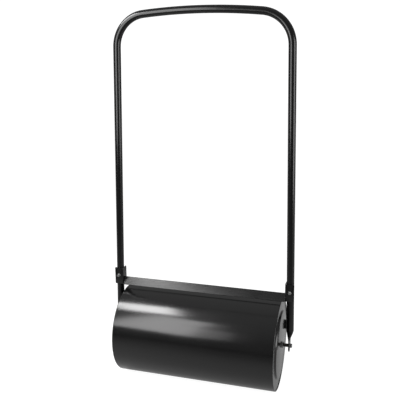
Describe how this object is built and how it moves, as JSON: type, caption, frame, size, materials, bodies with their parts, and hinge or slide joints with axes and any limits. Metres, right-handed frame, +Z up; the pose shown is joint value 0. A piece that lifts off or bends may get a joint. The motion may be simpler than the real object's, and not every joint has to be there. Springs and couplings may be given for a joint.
{
  "type": "push lawn roller",
  "caption": "Push lawn roller with a water-fillable steel drum on an axle, a tall bent-tube handle and a flat scraper bar.",
  "frame": {"origin": "on the ground under the middle of the axle, at the bottom centre of the part's box", "axes": "+X along the axle to the right, +Y to the rear, away from the side that carries the scraper bar, +Z up the handle"},
  "size_m": [0.6604, 0.32, 1.301],
  "materials": {
    "black_paint": "semi-gloss powder coat with a fine texture",
    "zinc_plate": "satin zinc plate",
    "axle_steel": "oiled plain steel bar",
    "black_rubber": "matt",
    "black_plastic": "moulded, finely grained"
  },
  "bodies": {
    "handle_frame": {"handle_upper": "black_paint", "leg_left": "black_paint", "leg_right": "black_paint", "scraper_bar": "black_paint", "bracket_left": "black_paint", "bracket_right": "black_paint", "axle_rod": "axle_steel", "bracket_bolt_left": "zinc_plate", "bracket_bolt_right": "zinc_plate", "bracket_front_washer_left": "zinc_plate", "bracket_front_washer_right": "zinc_plate", "bracket_rear_washer_left": "zinc_plate", "bracket_rear_washer_right": "zinc_plate", "bracket_nut_left": "zinc_plate", "bracket_nut_right": "zinc_plate", "axle_bolt_left": "zinc_plate", "axle_bolt_right": "zinc_plate", "axle_end_washer_left": "zinc_plate", "axle_end_washer_right": "zinc_plate", "thrust_washer_left": "zinc_plate", "thrust_washer_right": "zinc_plate", "split_pin_left": "zinc_plate", "split_pin_right": "zinc_plate"},
    "drum": {"drum_shell": "black_paint", "drum_end_left": "black_paint", "drum_end_right": "black_paint", "centre_tube": "black_paint", "filler_neck": "black_paint"},
    "filler_seal": {"filler_seal": "black_rubber"},
    "filler_plug": {"filler_plug": "black_plastic"}
  },
  "joints": [
    {"name": "drum_spin", "type": "hinge", "parent": "handle_frame", "child": "drum", "pos_m": [0, 0, 0.16], "axis": [1, 0, 0], "continuous": true},
    {"name": "filler_lift", "type": "slide", "parent": "drum", "child": "filler_seal", "axis": [1, 0, 0], "range_m": [0, 0.014]},
    {"name": "filler_turn", "type": "hinge", "parent": "filler_seal", "child": "filler_plug", "pos_m": [0.2913, 0.09, 0.196], "axis": [1, 0, 0], "range_deg": [0, 1261]}
  ],
  "couplings": [
    {"joint": "filler_turn", "follows": "filler_lift", "rad_per_m": 1570.8}
  ]
}
